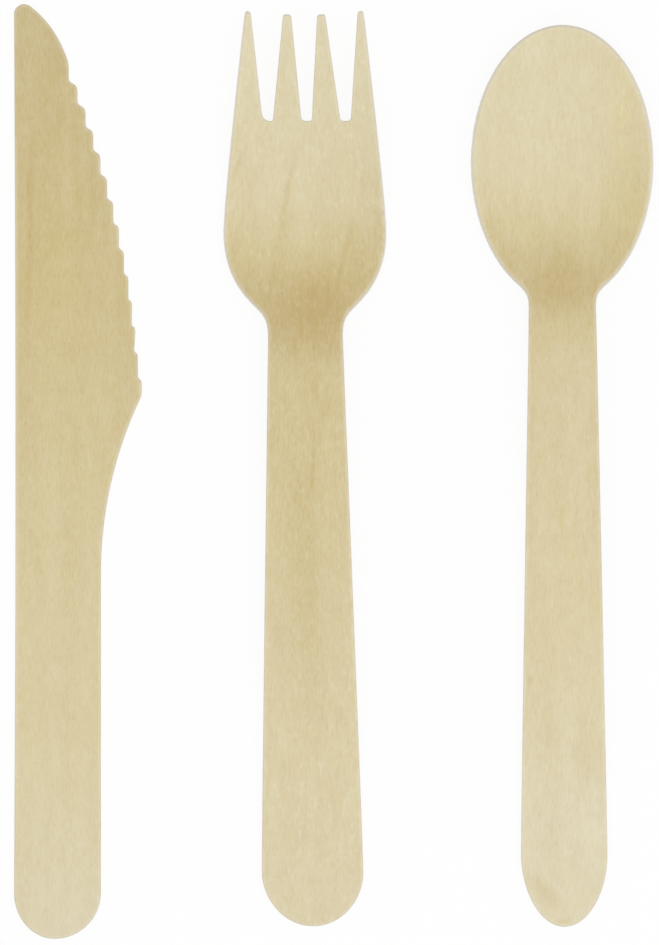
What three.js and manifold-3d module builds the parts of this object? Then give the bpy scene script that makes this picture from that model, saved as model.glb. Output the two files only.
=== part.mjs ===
// A wooden cutlery set: a knife, a fork and a spoon of birch sheet, lying side by side on a table.
// Each piece is punched from one sheet. The knife stays flat, while the fork's head and the spoon's
// bowl are pressed to shape between hot dies.
// Millimetres, +Z up. The tips point to +Y, and the table is the plane z = 0.

import * as THREE from "three";
import { mergeVertices } from "three/addons/utils/BufferGeometryUtils.js";
import Module from "manifold-3d";

// The set, with gaps between the pieces' widest points
const SHEET_THICKNESS = 1.8;
const KNIFE_FORK_GAP = 14.35;
const FORK_SPOON_GAP = 14.73;
const FORK_END_STEP = 2.2; // how far the end of its handle lies past the knife's
const SPOON_END_STEP = 2.1;
const FORK_TURN_DEG = 0.18; // as it was laid down

// Knife, measured across from the middle of its spine and along from the end of its handle
const KNIFE_LENGTH = 165;
const KNIFE_HANDLE_WIDTH = 15.1;
const KNIFE_HANDLE_LENGTH = 64.5; // up to where the edge sweeps out
const KNIFE_END_ROUND = 8.2; // length of the rounding at the end
const KNIFE_END_LEAN = 0.5; // how far the end's lowest point lies towards the spine
const SPINE_HOLLOW = 0.27;
const BLADE_WIDTH = 22.3; // at the heel
const HEEL_HEIGHT = 96.5;
const HEEL_RADIUS = 2.5;
const HEEL_FLANK = 2.1; // from the heel up to the first tooth's corner
const HEEL_STAND = 0.35; // how far that tooth stands out past the arc of the others
const EDGE_RADIUS = 175; // arc through the corners of the teeth
const TOOTH_PITCH_HEEL = 4.7;
const TOOTH_PITCH_NOSE = 4.15;
const TOOTH_DEPTH = 0.65;
const TOOTH_SLOPE_DEG = 27; // slope of the step from a tooth's root out to its corner
const TOOTH_ROOT_ROUND = 0.5; // how far the hollow at the root reaches along the flank
const TOOTH_CORNER_ROUND = 0.85; // how far the rounded corner reaches along the flank
const NOSE_WIDTH = 9.43; // where the teeth end
const NOSE_LENGTH = 10.55;
const NOSE_SLOPE_DEG = 17; // lean of the nose where it starts
const TIP_SLOPE_DEG = 53; // lean of the nose where it meets the round tip
const TIP_RADIUS = 1.8;

// Fork
const FORK_LENGTH = 161.35;
const FORK_END_WIDTH = 18.1;
const FORK_END_ROUND = 10;
const FORK_NECK_WIDTH = 13;
const FORK_NECK_FILLET = 2.9; // length of the fillet's sides
const FORK_SHOULDER_LENGTH = 15.75; // from the neck's corner line to the widest line
const FORK_HEAD_WIDTH = 28.6;
const FORK_HEAD_LENGTH = 39.5; // from the widest line to the tips
const FORK_TIP_WIDTH = 20.8; // across the outer tines' tips
const FORK_FLANK_SLOPE_DEG = 6.5; // at the tips
const FORK_HANDLE_LEAN = 1.1; // how far the handle's end lies to one side of the head's middle
const TINE_LENGTH = 19.3;
const TINE_TIP_RADIUS = 0.45; // of the outer tines' outer corners
const SLOT_LIP_RADIUS = 0.4; // of the tine tips' corners along the slots
const SLOT_LIP_RISE = 0.1; // how far over the tips those corners start, so that they cross the tip line
const INNER_TINE_DROP = 0.65; // how much shorter the inner tines are
const SLOT_ROOT_WIDTH = 1.8;
const SLOT_ROOT_SPACING = 6.87;
const SLOT_ROOT_RADII = [[1.45, 0.3], [0.75, 0.35], [0.5, 0.6]]; // left and right, of each slot's root
const SLOT_MOUTH_SPACING = 6.57;
const OUTER_SLOT_MOUTH = 5.6;
const CENTRE_SLOT_MOUTH = 4.5;
const SLOT_SKEW = 0.37; // how far the slots' roots lie to one side of their mouths
const FORK_BEND_LENGTH = 23.5; // of the slope down from the handle
const FORK_PALM_LENGTH = 41; // from the foot of that slope to the tips
const FORK_DROP = 4.5; // from the handle down to the floor of the palm
const FORK_TIP_RISE = 3.5; // from the floor up to the tips
const FORK_CUP = 1.2; // from the middle up to the sides, at the widest line

// Spoon, pressed as the fork is
const SPOON_LENGTH = 159;
const SPOON_END_WIDTH = 15.4;
const SPOON_END_ROUND = 13.4;
const SPOON_NECK_WIDTH = 11.75;
const SPOON_NECK_FILLET = 1;
const SPOON_HANDLE_LEAN = 0.45;
const BOWL_WIDTH = 31.9;
const BOWL_SHOULDER_LENGTH = 24.6; // half ellipse on the handle's side of the widest line
const BOWL_FRONT_LENGTH = 24.1; // half ellipse on the tip's side
const SPOON_BEND_LENGTH = 27;
const SPOON_FLOOR_LENGTH = 32;
const SPOON_DROP = 5.5;
const SPOON_TIP_RISE = 3;
const SPOON_CUP = 2.2;

// Facets
const ROW_STEP = 2.4;
const COLUMNS = 12;
const CURVE_SEGMENTS = 16; // of each curve in the knife's outline
const SLOT_CURVE_SEGMENTS = 4; // of each rounded corner of a slot
const CAP_ANGLE_DEG = 50; // how far round a half-elliptical end the last row of facets starts
const CAP_ROWS = 6;
const TIP_ROWS = 3; // round the outer tines' outer corners

// Finish: bare birch, paler where the sheet was paler
const KNIFE_COLOUR = 0xd3c499;
const FORK_COLOUR = 0xd9cca1;
const SPOON_COLOUR = 0xddd0a9;
const BIRCH_ROUGHNESS = 0.65;

const wasm = await Module();
wasm.setup();

const { degToRad, lerp, smoothstep } = THREE.MathUtils;
const rightAngle = Math.PI / 2;

// Where the line from one point along a direction crosses the line from another
function crossing(point, direction, other, otherDirection) {
  const offset = other.clone().sub(point);
  const along = offset.cross(otherDirection) / direction.cross(otherDirection);
  return direction.clone().multiplyScalar(along).add(point);
}

// Corners of the teeth, from the heel to the nose, along an arc on which the pitch changes evenly
function toothCorners() {
  const heel = new THREE.Vector2(BLADE_WIDTH - HEEL_STAND, HEEL_HEIGHT + HEEL_FLANK);
  const nose = new THREE.Vector2(NOSE_WIDTH, KNIFE_LENGTH - NOSE_LENGTH);
  const chord = nose.clone().sub(heel);
  const centreDistance = Math.sqrt(EDGE_RADIUS ** 2 - chord.lengthSq() / 4);
  const inward = new THREE.Vector2(-chord.y, chord.x).normalize();
  const centre = heel.clone().add(nose).multiplyScalar(0.5).addScaledVector(inward, centreDistance);
  const heelAngle = Math.atan2(heel.y - centre.y, heel.x - centre.x);
  const noseAngle = Math.atan2(nose.y - centre.y, nose.x - centre.x);
  const pitchSum = TOOTH_PITCH_HEEL + TOOTH_PITCH_NOSE;
  const pitchChange = (TOOTH_PITCH_HEEL - TOOTH_PITCH_NOSE) / pitchSum;
  const count = Math.round((2 * EDGE_RADIUS * (noseAngle - heelAngle)) / pitchSum);
  const corners = Array.from({ length: count + 1 }, (_, i) => {
    const share = i / count;
    const angle = lerp(heelAngle, noseAngle, share + pitchChange * share * (1 - share));
    return new THREE.Vector2(Math.cos(angle), Math.sin(angle)).multiplyScalar(EDGE_RADIUS).add(centre);
  });
  corners[0].x = BLADE_WIDTH;
  return corners;
}

// The knife's outline, clockwise from the foot of its spine
function knifeShape() {
  const shape = new THREE.Shape();
  const tipSlope = degToRad(TIP_SLOPE_DEG);
  const tipCentre = new THREE.Vector2(TIP_RADIUS - SPINE_HOLLOW, KNIFE_LENGTH - TIP_RADIUS);
  shape.moveTo(-SPINE_HOLLOW, KNIFE_END_ROUND);
  shape.quadraticCurveTo(SPINE_HOLLOW, KNIFE_LENGTH / 2, -SPINE_HOLLOW, tipCentre.y);
  shape.absarc(tipCentre.x, tipCentre.y, TIP_RADIUS, Math.PI, tipSlope, true);

  // Nose, tangent to the rounded tip
  const corners = toothCorners();
  const nose = corners.at(-1);
  const noseSlope = degToRad(NOSE_SLOPE_DEG);
  const tipSide = new THREE.Vector2(Math.cos(tipSlope), Math.sin(tipSlope));
  const tipEnd = tipSide.clone().multiplyScalar(TIP_RADIUS).add(tipCentre);
  const noseControl = crossing(
    nose,
    new THREE.Vector2(-Math.sin(noseSlope), Math.cos(noseSlope)),
    tipEnd,
    new THREE.Vector2(Math.sin(tipSlope), -Math.cos(tipSlope)),
  );
  shape.quadraticCurveTo(noseControl.x, noseControl.y, nose.x, nose.y);

  // Teeth: a flank along the spine, leaning in where the tooth would be too shallow, then a step out with
  // a hollow root and a rounded corner
  const stepSlope = Math.tan(degToRad(TOOTH_SLOPE_DEG));
  for (let i = corners.length - 2; i >= 0; i -= 1) {
    const corner = corners[i];
    const rootX = Math.min(corners[i + 1].x, corner.x - TOOTH_DEPTH);
    const root = new THREE.Vector2(rootX, corner.y + (corner.x - rootX) * stepSlope);
    const middle = root.clone().lerp(corner, 0.5);
    shape.lineTo(root.x, root.y + TOOTH_ROOT_ROUND);
    shape.quadraticCurveTo(root.x, root.y, middle.x, middle.y);
    shape.quadraticCurveTo(corner.x, corner.y, corner.x, corner.y - TOOTH_CORNER_ROUND);
  }

  // Heel, and the hollow sweep from it into the handle
  const heelInset = KNIFE_HANDLE_WIDTH - BLADE_WIDTH + HEEL_RADIUS;
  const sweepHeight = HEEL_HEIGHT - KNIFE_HANDLE_LENGTH;
  const sweepRadius =
    (heelInset ** 2 + sweepHeight ** 2 - HEEL_RADIUS ** 2) / (2 * (HEEL_RADIUS - heelInset));
  const sweepAngle = Math.atan2(sweepHeight, sweepRadius + heelInset);
  shape.absarc(BLADE_WIDTH - HEEL_RADIUS, HEEL_HEIGHT, HEEL_RADIUS, 0, -sweepAngle, true);
  const sweepCentre = KNIFE_HANDLE_WIDTH + sweepRadius;
  shape.absarc(sweepCentre, KNIFE_HANDLE_LENGTH, sweepRadius, Math.PI - sweepAngle, Math.PI, false);

  // Handle's end, a quarter of an ellipse on each side of its lowest point
  const lowest = (KNIFE_HANDLE_WIDTH - SPINE_HOLLOW) / 2 - KNIFE_END_LEAN;
  const edgeSide = KNIFE_HANDLE_WIDTH - lowest;
  const spineSide = lowest + SPINE_HOLLOW;
  shape.absellipse(lowest, KNIFE_END_ROUND, edgeSide, KNIFE_END_ROUND, 0, -rightAngle, true);
  shape.absellipse(lowest, KNIFE_END_ROUND, spineSide, KNIFE_END_ROUND, -rightAngle, -Math.PI, true);
  return shape;
}

// A row of a pressed blank: half its width, its place along the piece, its sideways lean, and how far its
// middle bows past its ends
function blankRow(half, y, lean = 0, bow = 0) {
  return { half, y, lean, bow };
}

// Rows of a half-elliptical end, from its base. They bow more and more, up to the outline's own crown
function endRows(half, length) {
  const capAngle = degToRad(CAP_ANGLE_DEG);
  const crown = length * (1 - Math.sin(capAngle));
  return Array.from({ length: CAP_ROWS + 1 }, (_, i) => {
    const share = i / CAP_ROWS;
    const angle = capAngle * share;
    return blankRow(half * Math.cos(angle), length * Math.sin(angle), 0, crown * share);
  });
}

// How a bowed row rises from its ends to 1 in the middle, along the same ellipse
function bowAt(across) {
  const capAngle = degToRad(CAP_ANGLE_DEG);
  const sine = Math.sin(capAngle);
  return (Math.sqrt(1 - (across * Math.cos(capAngle)) ** 2) - sine) / (1 - sine);
}

// Rows from the handle's end to the head's widest line: a flaring handle, then elliptical shoulders
function handleRows(sizes) {
  const { endWidth, endRound, neckWidth, neckFillet, lean } = sizes;
  const { headWidth, shoulder, headLine, bendStart } = sizes;
  const corner = -Math.acos(neckWidth / headWidth);
  const neck = new THREE.Vector2(neckWidth / 2, headLine + shoulder * Math.sin(corner));
  const cornerSpeed = Math.hypot((headWidth / 2) * Math.sin(corner), shoulder * Math.cos(corner));
  const shoulderStart = corner + neckFillet / cornerSpeed;
  const halfAt = (y) => lerp(endWidth / 2, neck.x, (y - endRound) / (neck.y - endRound));
  const leanAt = (y) => lean * Math.max(0, 1 - y / neck.y);

  const end = endRows(endWidth / 2, endRound).reverse();
  const rows = end.map((row) => {
    const y = endRound - row.y;
    return blankRow(row.half, y, leanAt(y), -row.bow);
  });

  const filletStart = neck.y - neckFillet;
  const bendRows = Math.ceil((filletStart - bendStart) / ROW_STEP);
  for (let i = 0; i < bendRows; i += 1) {
    const y = lerp(bendStart, filletStart, i / bendRows);
    rows.push(blankRow(halfAt(y), y, leanAt(y)));
  }

  const shoulderCurve = new THREE.EllipseCurve(0, headLine, headWidth / 2, shoulder, shoulderStart, 0);
  const handleEdge = new THREE.Vector2(halfAt(filletStart), filletStart);
  const fillet = new THREE.QuadraticBezierCurve(handleEdge, neck, shoulderCurve.getPoint(0));
  for (const curve of [fillet, shoulderCurve]) {
    const points = curve.getSpacedPoints(Math.ceil(curve.getLength() / ROW_STEP));
    points.pop();
    rows.push(...points.map((point) => blankRow(point.x, point.y, leanAt(point.y))));
  }
  return rows;
}

// Height of a pressed piece's middle layer above its handle: it drops to the floor of the head, rises
// towards the tip, and is cupped across
function pressHeight({ bendStart, floor, length, headWidth, drop, tipRise, cup }) {
  return (x, y) => {
    const sunk = smoothstep(y, bendStart, floor);
    const forward = Math.max(0, y - floor) / (length - floor);
    const across = (2 * x) / headWidth;
    return tipRise * forward ** 2 + sunk * (cup * across ** 2 - drop);
  };
}

// A sheet with the plan outline that the rows give, pressed to the height function. Its cut walls stay
// square to its faces
function pressedSheet(rows, height) {
  const steps = rows.length - 1;
  const sheet = new THREE.BoxGeometry(2, steps, SHEET_THICKNESS, COLUMNS, steps, 1);
  const position = sheet.attributes.position;
  const probe = SHEET_THICKNESS / 100;
  const point = new THREE.Vector3();
  const normal = new THREE.Vector3();
  for (let i = 0; i < position.count; i += 1) {
    const across = position.getX(i);
    const row = rows[Math.round(position.getY(i) + steps / 2)];
    const x = row.lean + across * row.half;
    const y = row.y + row.bow * bowAt(across);
    const slopeX = (height(x + probe, y) - height(x - probe, y)) / (2 * probe);
    const slopeY = (height(x, y + probe) - height(x, y - probe)) / (2 * probe);
    normal.set(-slopeX, -slopeY, 1).normalize();
    point.set(x, y, height(x, y)).addScaledVector(normal, position.getZ(i));
    position.setXYZ(i, point.x, point.y, point.z);
  }
  return sheet;
}

// A geometry as a solid that can be cut
function solidOf(geometry) {
  geometry.deleteAttribute("normal");
  geometry.deleteAttribute("uv");
  const merged = mergeVertices(geometry);
  const vertProperties = merged.attributes.position.array;
  const triVerts = new Uint32Array(merged.index.array);
  return new wasm.Manifold(new wasm.Mesh({ numProp: 3, vertProperties, triVerts }));
}

function geometryOf(solid) {
  const mesh = solid.getMesh();
  const geometry = new THREE.BufferGeometry();
  geometry.setAttribute("position", new THREE.BufferAttribute(mesh.vertProperties, 3));
  geometry.setIndex(new THREE.BufferAttribute(mesh.triVerts, 1));
  geometry.computeVertexNormals();
  return geometry;
}

function knifeGeometry() {
  const options = { depth: SHEET_THICKNESS, bevelEnabled: false, curveSegments: CURVE_SEGMENTS };
  return new THREE.ExtrudeGeometry(knifeShape(), options);
}

// Rows of the fork's head above its widest line: flanks that draw in to the tine tips, and rounded corners
function forkHeadRows(headLine) {
  const halfHead = FORK_HEAD_WIDTH / 2;
  const tip = new THREE.Vector2(FORK_TIP_WIDTH / 2, FORK_LENGTH);
  const flankTurn = tip.y - (halfHead - tip.x) / Math.tan(degToRad(FORK_FLANK_SLOPE_DEG));
  const flank = new THREE.QuadraticBezierCurve(
    new THREE.Vector2(halfHead, headLine),
    new THREE.Vector2(halfHead, flankTurn),
    tip,
  );
  const points = flank.getSpacedPoints(Math.ceil(flank.getLength() / ROW_STEP));
  const cornerBase = FORK_LENGTH - TINE_TIP_RADIUS;
  const outline = points.filter((point) => point.y < cornerBase - TINE_TIP_RADIUS);
  for (let i = 0; i <= TIP_ROWS; i += 1) {
    const turn = (rightAngle * i) / TIP_ROWS;
    const half = tip.x - TINE_TIP_RADIUS * (1 - Math.cos(turn));
    outline.push(new THREE.Vector2(half, cornerBase + TINE_TIP_RADIUS * Math.sin(turn)));
  }
  return outline.map(({ x, y }) => {
    const forward = (y - headLine) / FORK_HEAD_LENGTH;
    return blankRow(x, y, 0, -INNER_TINE_DROP * forward ** 2);
  });
}

// One slot between two tines: straight sides, rounded corners at the root and round tine tips at the mouth
function slotShape(place, mouthWidth, [leftRadius, rightRadius]) {
  const rootLine = FORK_LENGTH - TINE_LENGTH;
  const rootCentre = SLOT_SKEW + place * SLOT_ROOT_SPACING;
  const mouthCentre = place * SLOT_MOUTH_SPACING;
  const sides = [-1, 1].map((side) => {
    const root = new THREE.Vector2(rootCentre + (side * SLOT_ROOT_WIDTH) / 2, rootLine);
    const mouthX = mouthCentre + (side * mouthWidth) / 2;
    const drop = INNER_TINE_DROP * bowAt(mouthX / (FORK_TIP_WIDTH / 2 - TINE_TIP_RADIUS));
    const mouth = new THREE.Vector2(mouthX, FORK_LENGTH - drop);
    const lip = new THREE.Vector2(mouthX + side * SLOT_LIP_RADIUS, mouth.y + SLOT_LIP_RISE);
    return { root, mouth, lip };
  });

  const shape = new THREE.Shape();
  const [left, right] = sides;
  const leftRise = left.mouth.clone().sub(left.root).setLength(leftRadius);
  const rightRise = right.mouth.clone().sub(right.root).setLength(rightRadius);
  const beyond = FORK_LENGTH + SHEET_THICKNESS;
  shape.moveTo(left.lip.x, beyond);
  shape.lineTo(left.lip.x, left.lip.y);
  shape.quadraticCurveTo(left.mouth.x, left.mouth.y, left.mouth.x, left.mouth.y - SLOT_LIP_RADIUS);
  shape.lineTo(left.root.x + leftRise.x, left.root.y + leftRise.y);
  shape.quadraticCurveTo(left.root.x, left.root.y, left.root.x + leftRadius, rootLine);
  shape.lineTo(right.root.x - rightRadius, rootLine);
  shape.quadraticCurveTo(right.root.x, rootLine, right.root.x + rightRise.x, right.root.y + rightRise.y);
  shape.lineTo(right.mouth.x, right.mouth.y - SLOT_LIP_RADIUS);
  shape.quadraticCurveTo(right.mouth.x, right.mouth.y, right.lip.x, right.lip.y);
  shape.lineTo(right.lip.x, beyond);
  return shape;
}

function forkGeometry() {
  const headLine = FORK_LENGTH - FORK_HEAD_LENGTH;
  const floor = FORK_LENGTH - FORK_PALM_LENGTH;
  const bendStart = floor - FORK_BEND_LENGTH;
  const handle = handleRows({
    endWidth: FORK_END_WIDTH,
    endRound: FORK_END_ROUND,
    neckWidth: FORK_NECK_WIDTH,
    neckFillet: FORK_NECK_FILLET,
    headWidth: FORK_HEAD_WIDTH,
    shoulder: FORK_SHOULDER_LENGTH,
    headLine,
    bendStart,
    lean: FORK_HANDLE_LEAN,
  });
  const height = pressHeight({
    bendStart,
    floor,
    length: FORK_LENGTH,
    headWidth: FORK_HEAD_WIDTH,
    drop: FORK_DROP,
    tipRise: FORK_TIP_RISE,
    cup: FORK_CUP,
  });
  let fork = solidOf(pressedSheet([...handle, ...forkHeadRows(headLine)], height));

  const reach = FORK_DROP + FORK_TIP_RISE + FORK_CUP + SHEET_THICKNESS;
  const mouths = [OUTER_SLOT_MOUTH, CENTRE_SLOT_MOUTH, OUTER_SLOT_MOUTH];
  mouths.forEach((mouth, i) => {
    const options = { depth: 2 * reach, bevelEnabled: false, curveSegments: SLOT_CURVE_SEGMENTS };
    const slot = new THREE.ExtrudeGeometry(slotShape(i - 1, mouth, SLOT_ROOT_RADII[i]), options);
    slot.translate(0, 0, -reach);
    fork = fork.subtract(solidOf(slot));
  });
  return geometryOf(fork);
}

function spoonGeometry() {
  const headLine = SPOON_LENGTH - BOWL_FRONT_LENGTH;
  const floor = SPOON_LENGTH - SPOON_FLOOR_LENGTH;
  const bendStart = floor - SPOON_BEND_LENGTH;
  const handle = handleRows({
    endWidth: SPOON_END_WIDTH,
    endRound: SPOON_END_ROUND,
    neckWidth: SPOON_NECK_WIDTH,
    neckFillet: SPOON_NECK_FILLET,
    headWidth: BOWL_WIDTH,
    shoulder: BOWL_SHOULDER_LENGTH,
    headLine,
    bendStart,
    lean: SPOON_HANDLE_LEAN,
  });
  const front = endRows(BOWL_WIDTH / 2, BOWL_FRONT_LENGTH);
  const bowl = front.map((row) => blankRow(row.half, headLine + row.y, 0, row.bow));
  const height = pressHeight({
    bendStart,
    floor,
    length: SPOON_LENGTH,
    headWidth: BOWL_WIDTH,
    drop: SPOON_DROP,
    tipRise: SPOON_TIP_RISE,
    cup: SPOON_CUP,
  });
  return pressedSheet([...handle, ...bowl], height);
}

// A pressed piece rests on the end of its handle and on the underside of its head
function restingTilt(geometry) {
  const position = geometry.attributes.position;
  const heel = new THREE.Vector3(0, Infinity, Infinity);
  const point = new THREE.Vector3();
  for (let i = 0; i < position.count; i += 1) {
    point.fromBufferAttribute(position, i);
    if (point.y < heel.y || (point.y === heel.y && point.z < heel.z)) {
      heel.copy(point);
    }
  }
  let slope = 0;
  for (let i = 0; i < position.count; i += 1) {
    point.fromBufferAttribute(position, i);
    if (point.y > heel.y) {
      slope = Math.min(slope, (point.z - heel.z) / (point.y - heel.y));
    }
  }
  return -Math.atan(slope);
}

// A finished piece as it lies on the table: tilted to rest, then turned about the upright
function birchPiece(name, geometry, colour, turnDeg) {
  const material = new THREE.MeshStandardMaterial({ color: colour, roughness: BIRCH_ROUGHNESS });
  const mesh = new THREE.Mesh(geometry, material);
  mesh.name = name;
  mesh.rotation.set(restingTilt(geometry), 0, degToRad(turnDeg), "ZYX");
  return mesh;
}

const boundsOf = (object) => new THREE.Box3().setFromObject(object, true);

// Moves a piece so that its left side, its handle's end and its lowest point lie at these places
function place(piece, left, end) {
  const bounds = boundsOf(piece);
  piece.position.set(left - bounds.min.x, end - bounds.min.y, -bounds.min.z);
}

const knife = birchPiece("knife", knifeGeometry(), KNIFE_COLOUR, 0);
const fork = birchPiece("fork", forkGeometry(), FORK_COLOUR, FORK_TURN_DEG);
const spoon = birchPiece("spoon", spoonGeometry(), SPOON_COLOUR, 0);

place(knife, 0, 0);
place(fork, boundsOf(knife).max.x + KNIFE_FORK_GAP, FORK_END_STEP);
place(spoon, boundsOf(fork).max.x + FORK_SPOON_GAP, SPOON_END_STEP);

const cutlery = new THREE.Group();
cutlery.add(knife, fork, spoon);
const middle = boundsOf(cutlery).getCenter(new THREE.Vector3());
cutlery.position.set(-middle.x, -middle.y, 0);

export default cutlery;
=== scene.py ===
from math import radians

import bpy
from mathutils.kdtree import KDTree
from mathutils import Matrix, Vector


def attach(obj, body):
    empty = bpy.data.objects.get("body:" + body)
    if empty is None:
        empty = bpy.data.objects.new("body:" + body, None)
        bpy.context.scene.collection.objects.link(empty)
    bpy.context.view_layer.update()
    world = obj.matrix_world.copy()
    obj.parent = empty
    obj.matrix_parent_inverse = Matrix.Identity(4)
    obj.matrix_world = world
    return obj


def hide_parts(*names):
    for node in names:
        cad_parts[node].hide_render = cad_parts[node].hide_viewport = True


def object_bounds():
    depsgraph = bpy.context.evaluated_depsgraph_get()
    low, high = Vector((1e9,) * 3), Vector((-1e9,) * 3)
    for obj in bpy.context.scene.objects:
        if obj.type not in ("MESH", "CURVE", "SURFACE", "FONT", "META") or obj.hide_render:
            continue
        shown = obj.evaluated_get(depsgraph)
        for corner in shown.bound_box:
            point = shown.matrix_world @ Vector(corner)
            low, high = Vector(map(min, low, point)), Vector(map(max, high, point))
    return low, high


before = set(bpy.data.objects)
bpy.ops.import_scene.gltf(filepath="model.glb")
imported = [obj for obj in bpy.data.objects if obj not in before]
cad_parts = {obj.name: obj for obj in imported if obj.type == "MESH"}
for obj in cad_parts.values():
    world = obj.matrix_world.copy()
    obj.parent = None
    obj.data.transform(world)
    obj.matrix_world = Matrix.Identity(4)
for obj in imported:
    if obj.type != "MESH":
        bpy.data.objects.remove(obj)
cad_low, cad_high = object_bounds()


# Knife: one flat length of birch veneer, punched to its outline in a single stroke, teeth and all.
# It is tumbled after punching, so its cut corners are worn round, and it lies on its whole underside.
MM = 0.001
MERGE_REACH = 0.001 * MM
CORNER_ANGLE = radians(40)
FACET_ROUNDING = 2
VOXEL = 0.27 * MM
DIE_REACH = 2 * VOXEL
SMOOTHING = 0.5
CALM_PASSES = 4
WORN_PASSES = 2
RAISED_GRAIN = 0.03 * MM
GRAIN_RIDGE = (0.9 * MM, 16 * MM, 5 * MM)
CUT_SLOPE = 0.7


def veneer_copy(node_name):
    """Copies a solid's mesh, rounds its facets off, wears its corners down and raises its grain."""
    bpy.ops.object.select_all(action="DESELECT")
    piece = bpy.data.objects.new(f"birch_{node_name}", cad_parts[node_name].data.copy())
    bpy.context.collection.objects.link(piece)
    piece.select_set(True)
    bpy.context.view_layer.objects.active = piece

    bpy.ops.object.mode_set(mode="EDIT")
    bpy.ops.mesh.select_mode(type="EDGE")
    bpy.ops.mesh.select_all(action="SELECT")
    bpy.ops.mesh.remove_doubles(threshold=MERGE_REACH)
    bpy.ops.mesh.tris_convert_to_quads()
    bpy.ops.mesh.select_all(action="DESELECT")
    bpy.ops.mesh.edges_select_sharp(sharpness=CORNER_ANGLE)
    bpy.ops.transform.edge_crease(value=1)
    bpy.ops.object.mode_set(mode="OBJECT")

    bpy.ops.object.empty_add()
    grain_axes = bpy.context.object
    grain_axes.scale = GRAIN_RIDGE
    bpy.context.view_layer.objects.active = piece

    rounded = piece.modifiers.new("rounded_facets", "SUBSURF")
    rounded.levels = rounded.render_levels = FACET_ROUNDING
    die = piece.copy()
    die.data = piece.data.copy()
    bpy.context.collection.objects.link(die)

    # The evened mesh has steps along its corners. They are smoothed, and the faces drawn back onto the die
    even = piece.modifiers.new("even_mesh", "REMESH")
    even.mode = "VOXEL"
    even.voxel_size = VOXEL
    calm = piece.modifiers.new("calm_corners", "SMOOTH")
    calm.factor = SMOOTHING
    calm.iterations = CALM_PASSES
    pressed = piece.modifiers.new("pressed_to_die", "SHRINKWRAP")
    pressed.target = die
    pressed.wrap_method = "PROJECT"
    pressed.use_negative_direction = True
    pressed.project_limit = DIE_REACH
    worn = piece.modifiers.new("worn_corners", "SMOOTH")
    worn.factor = SMOOTHING
    worn.iterations = WORN_PASSES
    raised = piece.modifiers.new("raised_grain", "DISPLACE")
    raised.texture = bpy.data.textures.new("grain_ridges", "CLOUDS")
    raised.texture.noise_scale = 1
    raised.texture_coords = "OBJECT"
    raised.texture_coords_object = grain_axes
    raised.strength = RAISED_GRAIN
    for name in [modifier.name for modifier in piece.modifiers]:
        bpy.ops.object.modifier_apply(modifier=name)
    bpy.data.objects.remove(grain_axes)
    bpy.data.objects.remove(die)
    piece.select_set(True)
    bpy.ops.object.shade_smooth()
    piece.data.materials.clear()
    note_edge_distance(piece)
    return piece


def note_edge_distance(piece):
    """Notes at each point of a piece how far it lies from the cut walls, for the pale band along its edges:
    partly wear, partly a painted highlight.
    """
    points = piece.data.vertices
    walls = KDTree(len(points))
    for point in points:
        if abs(point.normal.z) < CUT_SLOPE:
            walls.insert(point.co, point.index)
    walls.balance()
    distances = piece.data.attributes.new("edge_distance", "FLOAT", "POINT")
    distances.data.foreach_set("value", [walls.find(point.co)[2] for point in points])


def linear(hex_colour):
    """An sRGB hex colour as linear RGBA."""
    channels = [int(hex_colour[i:i + 2], 16) / 255 for i in (1, 3, 5)]
    return [c / 12.92 if c <= 0.04045 else ((c + 0.055) / 1.055) ** 2.4 for c in channels] + [1]


def add(tree, kind, inputs, **settings):
    """Adds a shader node. Its inputs are values, or other nodes' outputs to link."""
    node = tree.nodes.new(kind)
    for name, value in settings.items():
        setattr(node, name, value)
    for name, value in inputs.items():
        if isinstance(value, bpy.types.NodeSocket):
            tree.links.new(value, node.inputs[name])
        else:
            node.inputs[name].default_value = value
    return node


# The face colours go from pale to tan, and the cut along the grain from white wood to its fibres
GREY_FACE = ("#dfd6ba", "#bfaa78")
HONEY_FACE = ("#e0d4a6", "#c0a864")
# The cut walls' whiteness is partly their own wood and partly a painted highlight on the rims
CUT_ALONG_GRAIN = ("#f3eddd", "#ddd2b8")
CUT_ACROSS_GRAIN = "#d6cebb"

# A noise pattern lies about its middle level. Pores and flecks are only its peaks
NOISE_MIDDLE = 0.5
PEAK_START = 0.62
PEAK_FULL = 0.8

# How upright the surface's normal still is where a face ends, and where the cut wall is full
FACE_ENDS = 0.9
WALL_FULL = 0.5

# A band along the cut edges is paler: partly their wear and partly a painted highlight on the rims
WORN_WIDTH = 0.7 * MM
WEAR_AND_HIGHLIGHT_PALENESS = 0.5
BURNISHED_ROUGHNESS = 0.42
FIBRE_ROUGHNESS = 0.58
FIBRE_HEIGHT = 0.01 * MM
FIBRE_RELIEF = 0.5


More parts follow.
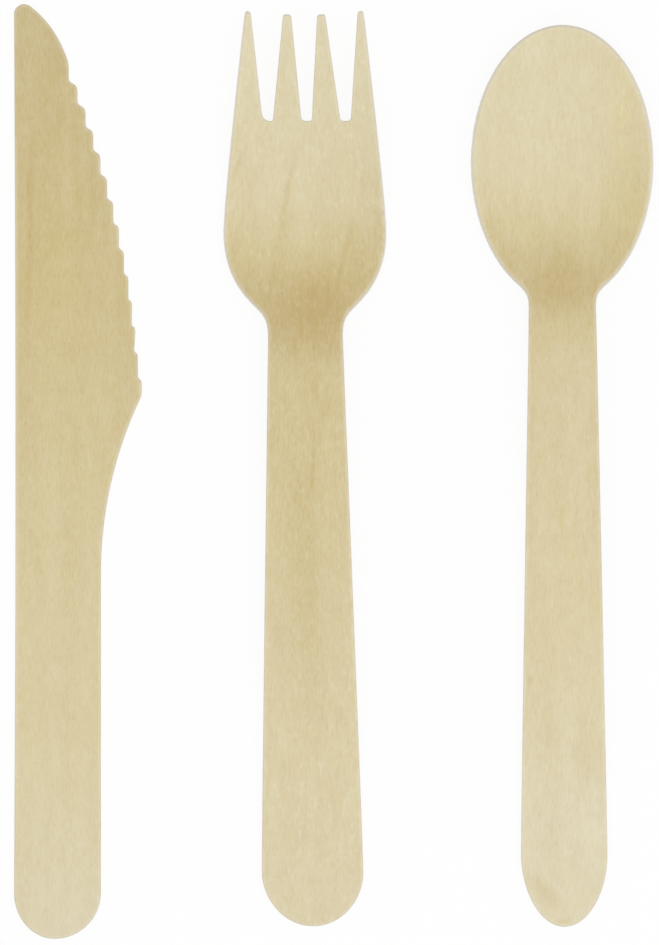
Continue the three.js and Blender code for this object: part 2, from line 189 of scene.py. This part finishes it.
def birch_veneer(name, shift, painted_light_tones, marks, fleck_depth):
    """Bare birch, peeled, dried and burnished: pale grey wood that goes deeper to tan and yellower to honey
    along the piece and in its marks, with fine lengthwise fibres, short pores, pale flecks and cloudy
    patches. Along the piece the depth and honey are painted light: paler toward the handle's end and deeper
    up the handle, as light and sheen that fall off away from the softbox, darker at a bend as painted shade,
    and paler again on a head that rises toward the light, as a painted sheen. Its cut edges are whiter along
    the grain and greyer across it; their whiteness, and a pale band beside them, are partly the wood's own
    and partly a painted highlight on the rims. The painted light is given as depth and honey at places along
    the piece in mm. A mark is a soft patch, darker or paler, plainer or more honey: its middle, half width
    and half length in mm, its lean in degrees, its depth and honey. The broad darker marks at the bends are
    painted shade."""
    material = bpy.data.materials.new(name)
    material.use_nodes = True
    tree = material.node_tree
    tree.nodes.clear()
    place = add(tree, "ShaderNodeTexCoord", {}).outputs["Object"]

    # Width, length and depth of each pattern's figure in mm, and its detail. Fibres and pores are a
    # little wider than the real ones, which are too fine to show
    patterns_mm = {
        "fibre": ((0.3, 1.7, 2), 2),
        "pore": ((0.25, 1.0, 2), 0),
        "fleck": ((0.7, 1.3, 2), 0),
        "patch": ((1.5, 4.5, 4), 2),
        "band": ((4, 60, 20), 2),
        "blush": ((1.2, 3, 4), 2),
        "cut": ((0.25, 5, 0.25), 2),
    }
    figure = {}
    for pattern, (size, detail) in patterns_mm.items():
        stretched = add(tree, "ShaderNodeMapping", {
            "Vector": place,
            "Location": shift,
            "Scale": [1 / (length * MM) for length in size],
        })
        figure[pattern] = add(tree, "ShaderNodeTexNoise", {
            "Vector": stretched.outputs["Vector"],
            "Scale": 1,
            "Detail": detail,
        }).outputs["Fac"]

    # Painted light and shade along the piece: depth and honey at places along it, paler where light falls,
    # darker at a bend
    along = add(tree, "ShaderNodeMapRange", {
        "Value": add(tree, "ShaderNodeSeparateXYZ", {0: place}).outputs["Y"],
        "From Min": cad_low.y,
        "From Max": cad_high.y,
    })
    lengthwise = add(tree, "ShaderNodeValToRGB", {"Fac": along.outputs["Result"]})
    lengthwise.color_ramp.interpolation = "CARDINAL"
    stops = lengthwise.color_ramp.elements
    for y, (depth, honey) in painted_light_tones.items():
        stop = stops.new((y * MM - cad_low.y) / (cad_high.y - cad_low.y))
        stop.color = (depth, honey, 0, 1)
    # The ramp's own two stops, at its very ends, go
    stops.remove(stops[0])
    stops.remove(stops[len(painted_light_tones)])

    # What each pattern and mark adds to the depth and the honey
    swings = {"fibre": (0.45, 0), "patch": (0.3, 0), "band": (0.3, 0), "blush": (0, -0.4)}
    peaks = {"pore": 0.15, "fleck": -fleck_depth}
    shares = []
    for pattern, (depth, honey) in swings.items():
        centred = add(tree, "ShaderNodeMath", {0: figure[pattern], 1: NOISE_MIDDLE}, operation="SUBTRACT")
        shares.append((centred, depth, honey))
    for pattern, depth in peaks.items():
        sparse = add(tree, "ShaderNodeMapRange", {
            "Value": figure[pattern],
            "From Min": PEAK_START,
            "From Max": PEAK_FULL,
        })
        shares.append((sparse, depth, 0))
    for x, y, half_width, half_length, lean, depth, honey in marks:
        centred = add(tree, "ShaderNodeMapping", {
            "Vector": place,
            "Location": (x * MM, y * MM, 0),
            "Rotation": (0, 0, radians(lean)),
            "Scale": (half_width * MM, half_length * MM, 1),
        }, vector_type="TEXTURE")
        reach = add(tree, "ShaderNodeVectorMath", {0: centred.outputs["Vector"]}, operation="LENGTH")
        soft = add(tree, "ShaderNodeMapRange", {
            "Value": reach.outputs["Value"],
            "From Min": 1,
            "From Max": 0,
        }, interpolation_type="SMOOTHSTEP")
        shares.append((soft, depth, honey))
    tone = lengthwise.outputs["Color"]
    for factor, depth, honey in shares:
        tone = add(tree, "ShaderNodeVectorMath", {
            0: factor.outputs[0],
            1: (depth, honey, 0),
            2: tone,
        }, operation="MULTIPLY_ADD").outputs["Vector"]
    tone = add(tree, "ShaderNodeSeparateXYZ", {0: tone}).outputs
    faces = []
    for pale, tan in (GREY_FACE, HONEY_FACE):
        faces.append(add(tree, "ShaderNodeMixRGB", {
            "Fac": tone["X"],
            "Color1": linear(pale),
            "Color2": linear(tan),
        }))
    face = add(tree, "ShaderNodeMixRGB", {
        "Fac": tone["Y"],
        "Color1": faces[0].outputs["Color"],
        "Color2": faces[1].outputs["Color"],
    })

    surface = add(tree, "ShaderNodeNewGeometry", {})
    normal = add(tree, "ShaderNodeSeparateXYZ", {0: surface.outputs["Normal"]})
    upright = add(tree, "ShaderNodeMath", {0: normal.outputs["Z"]}, operation="ABSOLUTE")
    wall = add(tree, "ShaderNodeMapRange", {
        "Value": upright.outputs[0],
        "From Min": FACE_ENDS,
        "From Max": WALL_FULL,
    })
    # Paler band beside the cut walls: partly wear, partly a painted highlight on the rims
    worn = add(tree, "ShaderNodeMapRange", {
        "Value": add(tree, "ShaderNodeAttribute", {}, attribute_name="edge_distance").outputs["Fac"],
        "From Min": WORN_WIDTH,
        "From Max": 0,
        "To Max": WEAR_AND_HIGHLIGHT_PALENESS,
    }, interpolation_type="SMOOTHSTEP")
    bare_wood_and_highlight = add(tree, "ShaderNodeMath", {
        0: wall.outputs["Result"],
        1: worn.outputs["Result"],
    }, operation="MAXIMUM")
    along_grain = add(tree, "ShaderNodeMixRGB", {
        "Fac": figure["cut"],
        "Color1": linear(CUT_ALONG_GRAIN[0]),
        "Color2": linear(CUT_ALONG_GRAIN[1]),
    })
    across = add(tree, "ShaderNodeMath", {0: normal.outputs["Y"]}, operation="ABSOLUTE")
    cut = add(tree, "ShaderNodeMixRGB", {
        "Fac": across.outputs[0],
        "Color1": along_grain.outputs["Color"],
        "Color2": linear(CUT_ACROSS_GRAIN),
    })
    colour = add(tree, "ShaderNodeMixRGB", {
        "Fac": bare_wood_and_highlight.outputs[0],
        "Color1": face.outputs["Color"],
        "Color2": cut.outputs["Color"],
    })
    burnish = add(tree, "ShaderNodeMapRange", {
        "Value": figure["fibre"],
        "To Min": BURNISHED_ROUGHNESS,
        "To Max": FIBRE_ROUGHNESS,
    })
    fibres = add(tree, "ShaderNodeBump", {
        "Height": figure["fibre"],
        "Strength": FIBRE_RELIEF,
        "Distance": FIBRE_HEIGHT,
    })
    wood = add(tree, "ShaderNodeBsdfPrincipled", {
        "Base Color": colour.outputs["Color"],
        "Roughness": burnish.outputs["Result"],
        "Normal": fibres.outputs["Normal"],
        "IOR": 1.5,
    })
    add(tree, "ShaderNodeOutputMaterial", {"Surface": wood.outputs["BSDF"]})
    return material


knife = veneer_copy("knife")
# Painted light: paler toward the handle's end and deeper toward the tip, as light and sheen falling off from
# the softbox
knife_painted_light = {
    -80: (0.22, 0.18), -50: (0.28, 0.53), -20: (0.38, 0.6), 25: (0.6, 0.62), 70: (0.73, 0.53),
    82: (0.76, 0.38),
}
knife_marks = [
    (-53.6, 45, 1.1, 28, -1, 0.2, 0),
    (-54, 51, 0.4, 3.5, 0, 0.2, 0.3),
    (-49, 34, 8, 28, 0, 0, 0.24),
    (-55.2, 36, 1.5, 17, 0, 0.04, 0.2),
    (-37, 18, 2.5, 17, 8, 0, -0.14),
    (-42, 58, 5, 25, 15, -0.04, -0.1),
]
knife.data.materials.append(
    birch_veneer("knife_birch_veneer", (0, 0, 0), knife_painted_light, knife_marks, fleck_depth=0.05))
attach(knife, "root")
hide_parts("knife")


# Fork: punched from the same veneer, then pressed hot between two dies, which sink the head below the
# handle and turn its sides and tines up. The cut walls lean with the sheet, so they show from above.
# The bend is painted darker, as painted shade where it slopes down to the head.
fork = veneer_copy("fork")
# Painted light: paler at the handle's end, darker at the bend as painted shade, paler on the head as a
# painted sheen
fork_painted_light = {
    -78: (0.28, 0.28), -50: (0.32, 0.44), -15: (0.46, 0.52), 10: (0.53, 0.57), 18: (0.56, 0.5),
    28: (0.77, 0.36), 36: (0.58, 0.63), 46: (0.31, 0.5), 78: (0.15, 0.33),
}
fork_marks = [
    (-8.2, 48.8, 0.9, 13, -10.7, 0.2, 0),
    (1.8, 38, 0.9, 9, -12, 0.25, 0),
    (-16.7, 54.4, 0.8, 4, -15, 0.2, 0),
    (-3.6, 2.2, 0.7, 8, -2, 0.2, 0),
    (-5.7, 25, 0.5, 4, 0, 0.2, 0),
    (9, 50, 7, 28, 0, 0.22, -0.1),
    (-10, 52, 3, 22, -5, -0.1, 0),
    (4.5, 40, 3.5, 10, -5, 0.13, 0),
    (-5.5, -15, 4.5, 48, 2.5, 0.22, 0),
    (-9.5, -30, 3.5, 11, 0, 0.1, -0.08),
    # Painted shade: the broad darker patch across the bend
    (-3.8, 28, 7.5, 15, 0, 0.24, 0.05),
    (-2, 12, 3.5, 9, 0, 0.12, 0.05),
]
fork.data.materials.append(
    birch_veneer("fork_birch_veneer", (31, 17, 5), fork_painted_light, fork_marks, fleck_depth=0.14))
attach(fork, "root")
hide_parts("fork")


# Spoon: punched and pressed like the fork, with a shallow oval bowl.
# Its sheet is the palest of the three, with hardly any figure.
spoon = veneer_copy("spoon")
# Painted light: paler at the handle's end, darker at the bend as painted shade, paler on the bowl as a
# painted sheen
spoon_painted_light = {
    -78: (0.18, 0.18), -60: (0.21, 0.15), -35: (0.31, 0.41), 0: (0.4, 0.43), 19: (0.45, 0.45),
    26: (0.53, 0.52), 33: (0.68, 0.46), 44: (0.37, 0.62), 54: (0.2, 0.45), 76: (0.18, 0.4),
}
spoon_marks = [
    # Painted shade: the broad darker patch across the bend
    (40.1, 33.5, 8, 9, 0, 0.13, 0),
    (53.5, 50, 9, 22, 0, 0.2, 0.15),
    (51, 64, 4.5, 14, 0, 0, 0.3),
    (40.9, -12, 1.7, 20, 16.7, 0, 0.22),
    (46.3, -23.5, 0.9, 5, 2, 0, 0.5),
    (34.6, -37, 0.9, 1.6, 0, 0.18, 0.1),
    (44.5, -49, 4, 9, 0, 0.12, 0.14),
    (37, -55, 4, 10, 0, -0.08, 0),
    (46, -64, 4, 9, 0, -0.13, -0.05),
    (37.2, -74.4, 2.6, 7, 42, 0.24, 0.08),
    (39.4, -73.4, 0.6, 3.2, 46, -0.12, 0),
    (40.6, -79.4, 1.8, 0.8, 0, 0.2, 0.3),
]
spoon.data.materials.append(
    birch_veneer("spoon_birch_veneer", (67, 43, 11), spoon_painted_light, spoon_marks, fleck_depth=0.05))
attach(spoon, "root")
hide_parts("spoon")


# Table: a plain white laminate top, which takes the pieces' soft shadows.
# What is seen of it is mostly its own white, so that it stays clean without more light on the wood.
TABLE_SIZE = 12
TABLE_DROP = 0.03 * MM
OWN_WHITE = 0.92


def seen_directly(tree):
    """1 for what the camera sees, straight on or in a gloss or through glass, and 0 for what only lights."""
    rays = add(tree, "ShaderNodeLightPath", {}).outputs
    either = add(tree, "ShaderNodeMath", {
        0: rays["Is Camera Ray"],
        1: rays["Is Glossy Ray"],
    }, operation="MAXIMUM")
    return add(tree, "ShaderNodeMath", {
        0: either.outputs[0],
        1: rays["Is Transmission Ray"],
    }, operation="MAXIMUM").outputs[0]


bpy.ops.object.select_all(action="DESELECT")
bpy.ops.mesh.primitive_plane_add(size=TABLE_SIZE, location=(0, 0, -TABLE_DROP))
table = bpy.context.object
table.name = "table"
laminate = bpy.data.materials.new("white_laminate")
laminate.use_nodes = True
laminate.node_tree.nodes.clear()
own_white = add(laminate.node_tree, "ShaderNodeMath", {
    0: seen_directly(laminate.node_tree),
    1: OWN_WHITE,
}, operation="MULTIPLY")
top = add(laminate.node_tree, "ShaderNodeMixShader", {
    "Fac": own_white.outputs[0],
    1: add(laminate.node_tree, "ShaderNodeBsdfDiffuse", {"Color": linear("#f6f6f6")}).outputs[0],
    2: add(laminate.node_tree, "ShaderNodeEmission", {"Color": linear("#ffffff")}).outputs[0],
})
add(laminate.node_tree, "ShaderNodeOutputMaterial", {"Surface": top.outputs[0]})
table.data.materials.append(laminate)


# Light: one large softbox overhead, a little to the spoon's side, and a white room.
SOFTBOX_PLACE = (0.10, -0.06, 0.52)
SOFTBOX_WIDTH = 0.5
SOFTBOX_LENGTH = 0.4
SOFTBOX_POWER = 0.72
ROOM_LIGHT = 0.8
bpy.ops.object.light_add(type="AREA", location=SOFTBOX_PLACE)
softbox = bpy.context.object
softbox.name = "softbox"
softbox.data.shape = "RECTANGLE"
softbox.data.size = SOFTBOX_WIDTH
softbox.data.size_y = SOFTBOX_LENGTH
softbox.data.energy = SOFTBOX_POWER
softbox.rotation_euler = (-softbox.location).to_track_quat("-Z", "Y").to_euler()

world = bpy.data.worlds.new("white_room")
bpy.context.scene.world = world
world.use_nodes = True
world.node_tree.nodes.clear()
strength = add(world.node_tree, "ShaderNodeMapRange", {
    "Value": seen_directly(world.node_tree),
    "To Min": ROOM_LIGHT,
    "To Max": 1,
})
room = add(world.node_tree, "ShaderNodeBackground", {
    "Color": linear("#ffffff"),
    "Strength": strength.outputs["Result"],
})
add(world.node_tree, "ShaderNodeOutputWorld", {"Surface": room.outputs[0]})


# Camera: straight above and far off, with a long lens that sees the pieces as flat as the photograph does.
# The picture is upright, so the sensor's width spans the view's height, taken nearly half way up the pieces.
VIEW_HEIGHT = 166.66 * MM
VIEW_MIDDLE = (-0.755 * MM, -0.18 * MM)
VIEW_LEVEL = 3 * MM
LONG_LENS = 400
bpy.ops.object.camera_add()
camera = bpy.context.object
camera.data.lens = LONG_LENS
distance = VIEW_HEIGHT * camera.data.lens / camera.data.sensor_width
camera.location = (*VIEW_MIDDLE, VIEW_LEVEL + distance)
camera.rotation_euler = (0, 0, 0)
bpy.context.scene.camera = camera
bpy.context.scene.view_settings.view_transform = "Standard"
